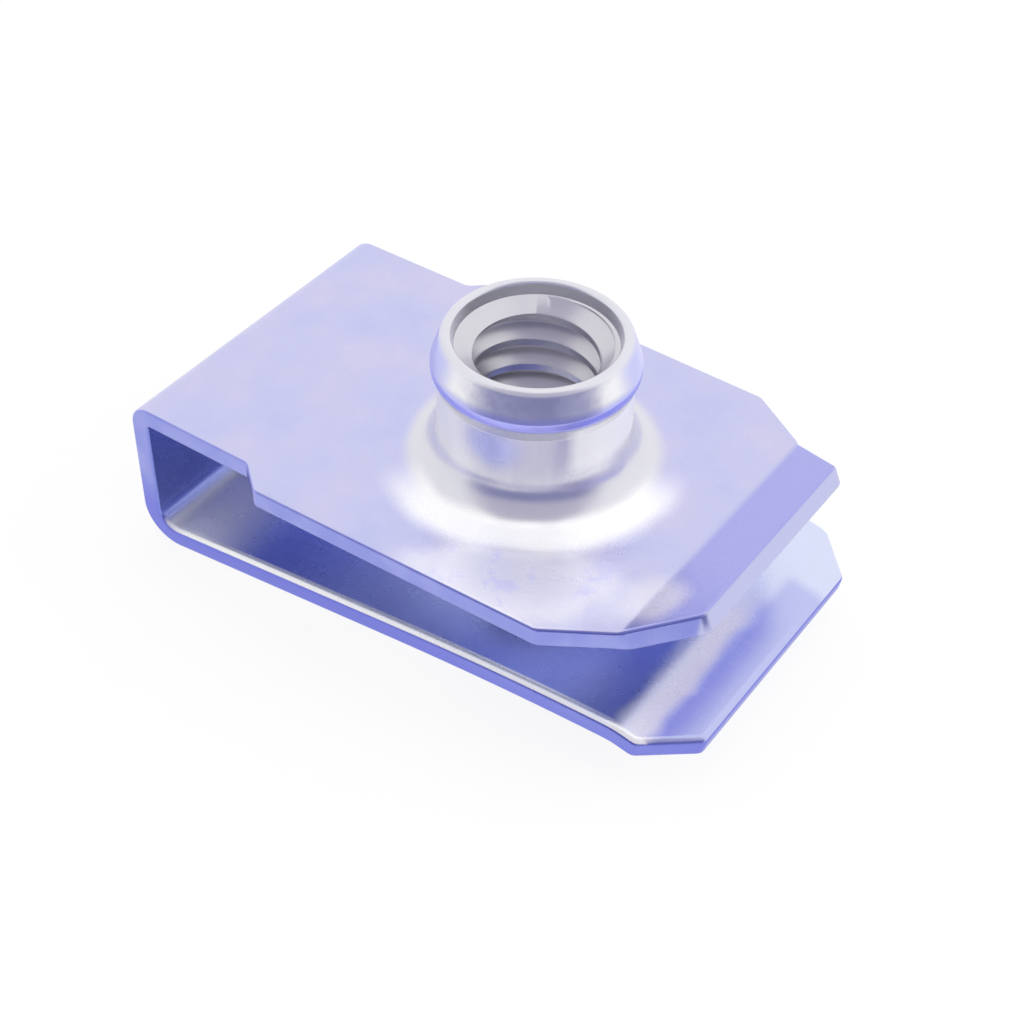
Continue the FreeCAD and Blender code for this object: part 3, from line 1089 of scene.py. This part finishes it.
class UCLIP_OT_make_clip(bpy.types.Operator):
    """Fold the sheet, raise the collar in it, cut the thread and plate it all with zinc"""

    bl_idname = "uclip.make_clip"
    bl_label = "Make the clip"

    def execute(self, context):
        scene = context.scene
        sizes, collar, zinc = scene.uclip_sheet, scene.uclip_collar, scene.uclip_zinc
        clip = fold_sheet(sizes)
        plate, sheared = clip.data.materials
        wall = draw_collar(collar, sizes.thickness)
        wall.data.materials.append(plate)
        join_collar(clip, wall, sizes.thickness)
        require_closed(clip, "before its thread")
        groove = thread_cutter(collar, sizes.thickness)
        groove.data.materials.append(plate)
        cut_away(clip, groove)
        require_closed(clip, "after its thread")
        make_active(clip)
        bpy.ops.object.shade_smooth_by_angle(angle=SMOOTH_TURN)
        apply_modifier(clip, "WEIGHTED_NORMAL", keep_sharp=True, weight=NORMAL_WEIGHT)
        plate_material(plate, zinc)
        sheared_material(sheared, zinc)
        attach(clip, "root")
        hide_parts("clip")
        return {"FINISHED"}


def soft_lamp(name, place, size, power):
    """A soft lamp that faces the clip and isn't mirrored in the metal."""
    deselect_all()
    bpy.ops.object.light_add(type="AREA", location=place)
    lamp = bpy.context.active_object
    lamp.name = name
    lamp.data.shape = "RECTANGLE"
    lamp.data.size, lamp.data.size_y = size
    lamp.data.energy = power
    lamp.visible_glossy = False
    lamp.rotation_mode = "QUATERNION"
    lamp.rotation_quaternion = (-Vector(place)).to_track_quat("-Z", "Y")


def seen(graph):
    """1 for rays that show the background to the camera, also by way of metal."""
    camera, glossy, through = (graph.node("ShaderNodeLightPath", output=f"Is {kind} Ray")
                               for kind in ("Camera", "Glossy", "Transmission"))
    return camera.larger(glossy).larger(through)


class UCLIP_OT_make_stage(bpy.types.Operator):
    """Put the clip on a pale floor under soft light and set up the camera"""

    bl_idname = "uclip.make_stage"
    bl_label = "Make the stage"

    def execute(self, context):
        scene, stage = context.scene, context.scene.uclip_stage
        floor_height = CAD_BOX[0][2]
        self.lay_floor(floor_height, stage)
        self.light_world(scene, stage)
        soft_lamp("top_lamp", TOP_LAMP_PLACE, TOP_LAMP_SIZE, stage.top_power)
        soft_lamp("side_lamp", SIDE_LAMP_PLACE, SIDE_LAMP_SIZE, stage.side_power)
        self.hang_tent(floor_height, stage)
        self.place_camera(scene, stage)
        scene.view_settings.view_transform = "Standard"
        return {"FINISHED"}

    def lay_floor(self, height, stage):
        """Pale floor that shows white to the camera and keeps part of the shadow."""
        deselect_all()
        bpy.ops.mesh.primitive_plane_add(size=FLOOR_SIDE, location=(0, 0, height))
        floor = rename_new("studio_floor")
        paint = bpy.data.materials.new("pale_floor")
        floor.data.materials.append(paint)
        graph = Graph(paint)
        matt = graph.node("ShaderNodeBsdfDiffuse", None, {"Color": (*stage.floor_colour, 1.0)})
        white = graph.node("ShaderNodeEmission", None,
                           {"Color": (1.0, 1.0, 1.0, 1.0), "Strength": 1.0})
        surface = graph.node("ShaderNodeMixShader", None,
                             {0: seen(graph) * (1.0 - stage.shadow_share), 1: matt, 2: white})
        graph.node("ShaderNodeOutputMaterial", None, [surface])

    def light_world(self, scene, stage):
        """White where it is seen, and plain grey light for everything else."""
        world = bpy.data.worlds.new("studio_world")
        scene.world = world
        graph = Graph(world)
        strength = seen(graph) * (1.0 - stage.world_level) + stage.world_level
        light = graph.node("ShaderNodeBackground", None,
                           {"Color": (1.0, 1.0, 1.0, 1.0), "Strength": strength})
        graph.node("ShaderNodeOutputWorld", None, [light])

    def hang_tent(self, floor_height, stage):
        """A studio tent and a low skirt behind the clip, which only reflections show."""
        deselect_all()
        bpy.ops.mesh.primitive_uv_sphere_add(
            segments=TENT_CORNERS, ring_count=TENT_CORNERS // 2, radius=TENT_RADIUS,
            location=(0, 0, 0))
        tent = rename_new("studio_tent")
        remove_parts(tent, "VERT", lambda vertex: vertex.co.z < floor_height - SLACK)
        bpy.ops.mesh.primitive_cylinder_add(
            vertices=TENT_CORNERS, radius=SKIRT_RADIUS, depth=SKIRT_HEIGHT,
            end_fill_type="NOTHING", location=(0, 0, floor_height + SKIRT_HEIGHT / 2))
        skirt = rename_new("studio_skirt")
        settle(skirt)
        ahead = Vector((math.sin(stage.azimuth), -math.cos(stage.azimuth), 0))
        remove_parts(skirt, "FACE",
                     lambda face: face.center.normalized().dot(ahead) < SKIRT_FRONT_END)
        paint = bpy.data.materials.new("tent_cloth")
        self.paint_tent(paint, stage)
        for cloth in (tent, skirt):
            cloth.data.materials.append(paint)
            cloth.visible_camera = False
            cloth.visible_diffuse = False
            cloth.visible_shadow = False

    def paint_tent(self, paint, stage):
        """White cloth, and dark cloth in front of the clip that pales higher up."""
        graph = Graph(paint)
        way = graph.node("ShaderNodeVectorMath", {"operation": "NORMALIZE"}, [graph.place()])
        x, y, z = graph.axes(way)
        across = (1.0 - z * z).larger(LEAST_ACROSS) ** 0.5
        ahead = (x * math.sin(stage.azimuth) - y * math.cos(stage.azimuth)) / across
        dark = graph.mix(z.step(*TENT_PALES), stage.tent_low, stage.tent_high)
        share = ahead.step(*TENT_DARKENS) * (1.0 - z.step(*TENT_OPENS))
        colour = graph.mix(share, (1.0, 1.0, 1.0), dark)
        glow = graph.node("ShaderNodeEmission", None, {"Color": colour, "Strength": 1.0})
        graph.node("ShaderNodeOutputMaterial", None, [glow])

    def place_camera(self, scene, stage):
        """Stand the camera where the photograph was taken from."""
        deselect_all()
        bpy.ops.object.camera_add()
        camera = bpy.context.active_object
        camera.name = "photo_camera"
        azimuth, elevation, roll = stage.azimuth, stage.elevation, stage.roll
        back = Vector((math.sin(azimuth) * math.cos(elevation),
                       -math.cos(azimuth) * math.cos(elevation), math.sin(elevation)))
        right = (-back).cross(Vector((0, 0, 1))).normalized()
        up = right.cross(-back)
        level = Matrix((right, up, back)).transposed()
        camera.rotation_mode = "QUATERNION"
        camera.rotation_quaternion = (level @ Matrix.Rotation(roll, 3, "Z")).to_quaternion()
        camera.location = stage.camera_place
        camera.data.sensor_width = SENSOR_WIDTH
        camera.data.lens = stage.focal_pixels / PHOTO_SIDE * SENSOR_WIDTH
        camera.data.clip_start, camera.data.clip_end = CAMERA_RANGE
        scene.camera = camera


# Panel

class UCLIP_PT_panel(bpy.types.Panel):
    """Sizes, finish and stage of the clip"""

    bl_idname = "UCLIP_PT_panel"
    bl_label = "U clip nut"
    bl_space_type = "VIEW_3D"
    bl_region_type = "UI"
    bl_category = "U clip"

    def draw(self, context):
        layout = self.layout
        for operator, groups in PANEL_ROWS:
            box = layout.box()
            for group in groups:
                settings = getattr(context.scene, group)
                for name in settings.__annotations__:
                    box.prop(settings, name)
            box.operator(operator)


PANEL_ROWS = [
    ("uclip.make_clip", ("uclip_sheet", "uclip_collar", "uclip_zinc")),
    ("uclip.make_stage", ("uclip_stage",)),
]
GROUPS = {
    "uclip_sheet": UCLIP_PG_sheet,
    "uclip_collar": UCLIP_PG_collar,
    "uclip_zinc": UCLIP_PG_zinc,
    "uclip_stage": UCLIP_PG_stage,
}
CLASSES = [*GROUPS.values(), UCLIP_OT_make_clip, UCLIP_OT_make_stage, UCLIP_PT_panel]


def register():
    """Register the classes and hang their settings on the scene."""
    for cls in CLASSES:
        bpy.utils.register_class(cls)
    for name, group in GROUPS.items():
        setattr(bpy.types.Scene, name, bpy.props.PointerProperty(type=group))


def unregister():
    """Take the settings and the classes away again."""
    for name in GROUPS:
        delattr(bpy.types.Scene, name)
    for cls in reversed(CLASSES):
        bpy.utils.unregister_class(cls)


def main():
    """Make the clip and its stage."""
    register()
    bpy.ops.uclip.make_clip()
    bpy.ops.uclip.make_stage()


if __name__ == "__main__":
    main()
